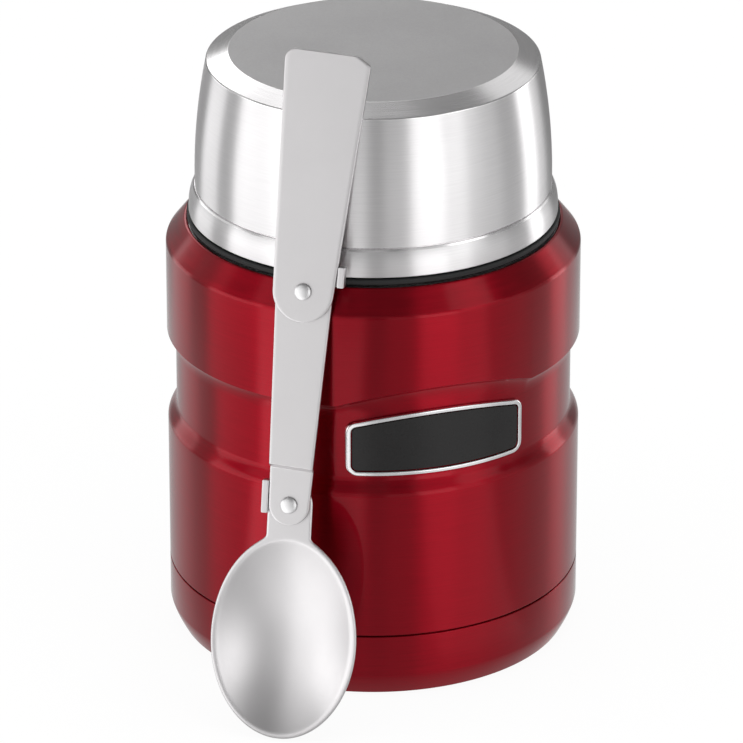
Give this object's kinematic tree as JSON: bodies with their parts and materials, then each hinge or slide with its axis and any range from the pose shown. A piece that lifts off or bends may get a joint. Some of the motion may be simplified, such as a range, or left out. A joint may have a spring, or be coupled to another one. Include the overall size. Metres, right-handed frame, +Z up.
{
  "type": "insulated food jar",
  "caption": "Vacuum food jar with a screw stopper, a steel cup that screws over it, and a folding spoon leaning on its front.",
  "frame": {"origin": "centre of the base cap's underside, on the table", "axes": "+Z up along the jar's axis; -Y towards the badge; the spoon leans on the front, to the badge's left, with its face 31.3 degrees from the badge towards -X"},
  "size_m": [0.1011, 0.1094, 0.1511],
  "materials": {
    "body_paint": "glossy translucent red metallic lacquer over steel",
    "lid_steel": "satin stainless steel, brushed round the axis",
    "vessel_steel": "plain drawn stainless steel",
    "spoon_steel": "tumbled satin stainless steel with bright edges",
    "rivet_steel": "polished rivet heads",
    "lid_plastic": "fine matt black polypropylene",
    "foam": "pale open foam",
    "seal_silicone": "matt grey silicone",
    "badge_field": "glossy black plate, bare",
    "badge_border": "bright silver border",
    "foil": "bright aluminium foil",
    "braze": "dull braze",
    "getter_metal": "sintered grey pill"
  },
  "bodies": {
    "jar": {"base_cap": "body_paint", "outer_shell": "body_paint", "shell_floor": "vessel_steel", "vacuum_seal": "braze", "getter": "getter_metal", "inner_vessel": "vessel_steel", "radiation_foil": "foil", "threaded_neck": "lid_steel", "badge_plate": "badge_field", "badge_frame": "badge_border"},
    "stopper_seal": {"stopper_gasket": "seal_silicone"},
    "stopper": {"stopper_cap": "lid_plastic", "stopper_plug": "lid_plastic", "stopper_foam": "foam"},
    "cup_seal": {"rim_seal": "seal_silicone"},
    "cup": {"cup_shell": "lid_steel", "cup_liner": "lid_plastic"},
    "spoon_bowl": {"spoon_bowl": "spoon_steel", "bowl_rivet": "rivet_steel"},
    "spoon_link": {"spoon_link": "spoon_steel", "handle_rivet": "rivet_steel"},
    "spoon_handle": {"spoon_handle": "spoon_steel"}
  },
  "joints": [
    {"name": "stopper_rise", "type": "slide", "parent": "jar", "child": "stopper_seal", "axis": [0, 0, 1], "range_m": [0, 0.036]},
    {"name": "stopper_turn", "type": "hinge", "parent": "stopper_seal", "child": "stopper", "pos_m": [0, 0, 0.1], "axis": [0, 0, 1], "range_deg": [0, 1080]},
    {"name": "cup_rise", "type": "slide", "parent": "stopper", "child": "cup_seal", "axis": [0, 0, 1], "range_m": [0, 0.048]},
    {"name": "cup_turn", "type": "hinge", "parent": "cup_seal", "child": "cup", "pos_m": [0, 0, 0.12], "axis": [0, 0, 1], "range_deg": [0, 1440]},
    {"name": "spoon_away", "type": "slide", "parent": "stopper_seal", "child": "spoon_bowl", "axis": [-0.5018, -0.8253, 0.2588], "range_m": [0, 0.07]},
    {"name": "link_fold", "type": "hinge", "parent": "spoon_bowl", "child": "spoon_link", "pos_m": [-0.03549, -0.04567, 0.05199], "axis": [0.5018, 0.8253, -0.2588], "range_deg": [0, 180]},
    {"name": "handle_fold", "type": "hinge", "parent": "spoon_link", "child": "spoon_handle", "pos_m": [-0.02801, -0.03563, 0.09853], "axis": [-0.5018, -0.8253, 0.2588], "range_deg": [0, 180]}
  ],
  "couplings": [
    {"joint": "stopper_rise", "follows": "stopper_turn", "m_per_rad": 0.0019098},
    {"joint": "cup_rise", "follows": "cup_turn", "m_per_rad": 0.0019098},
    {"joint": "spoon_away", "follows": "cup_turn", "m_per_rad": 0.00278}
  ]
}
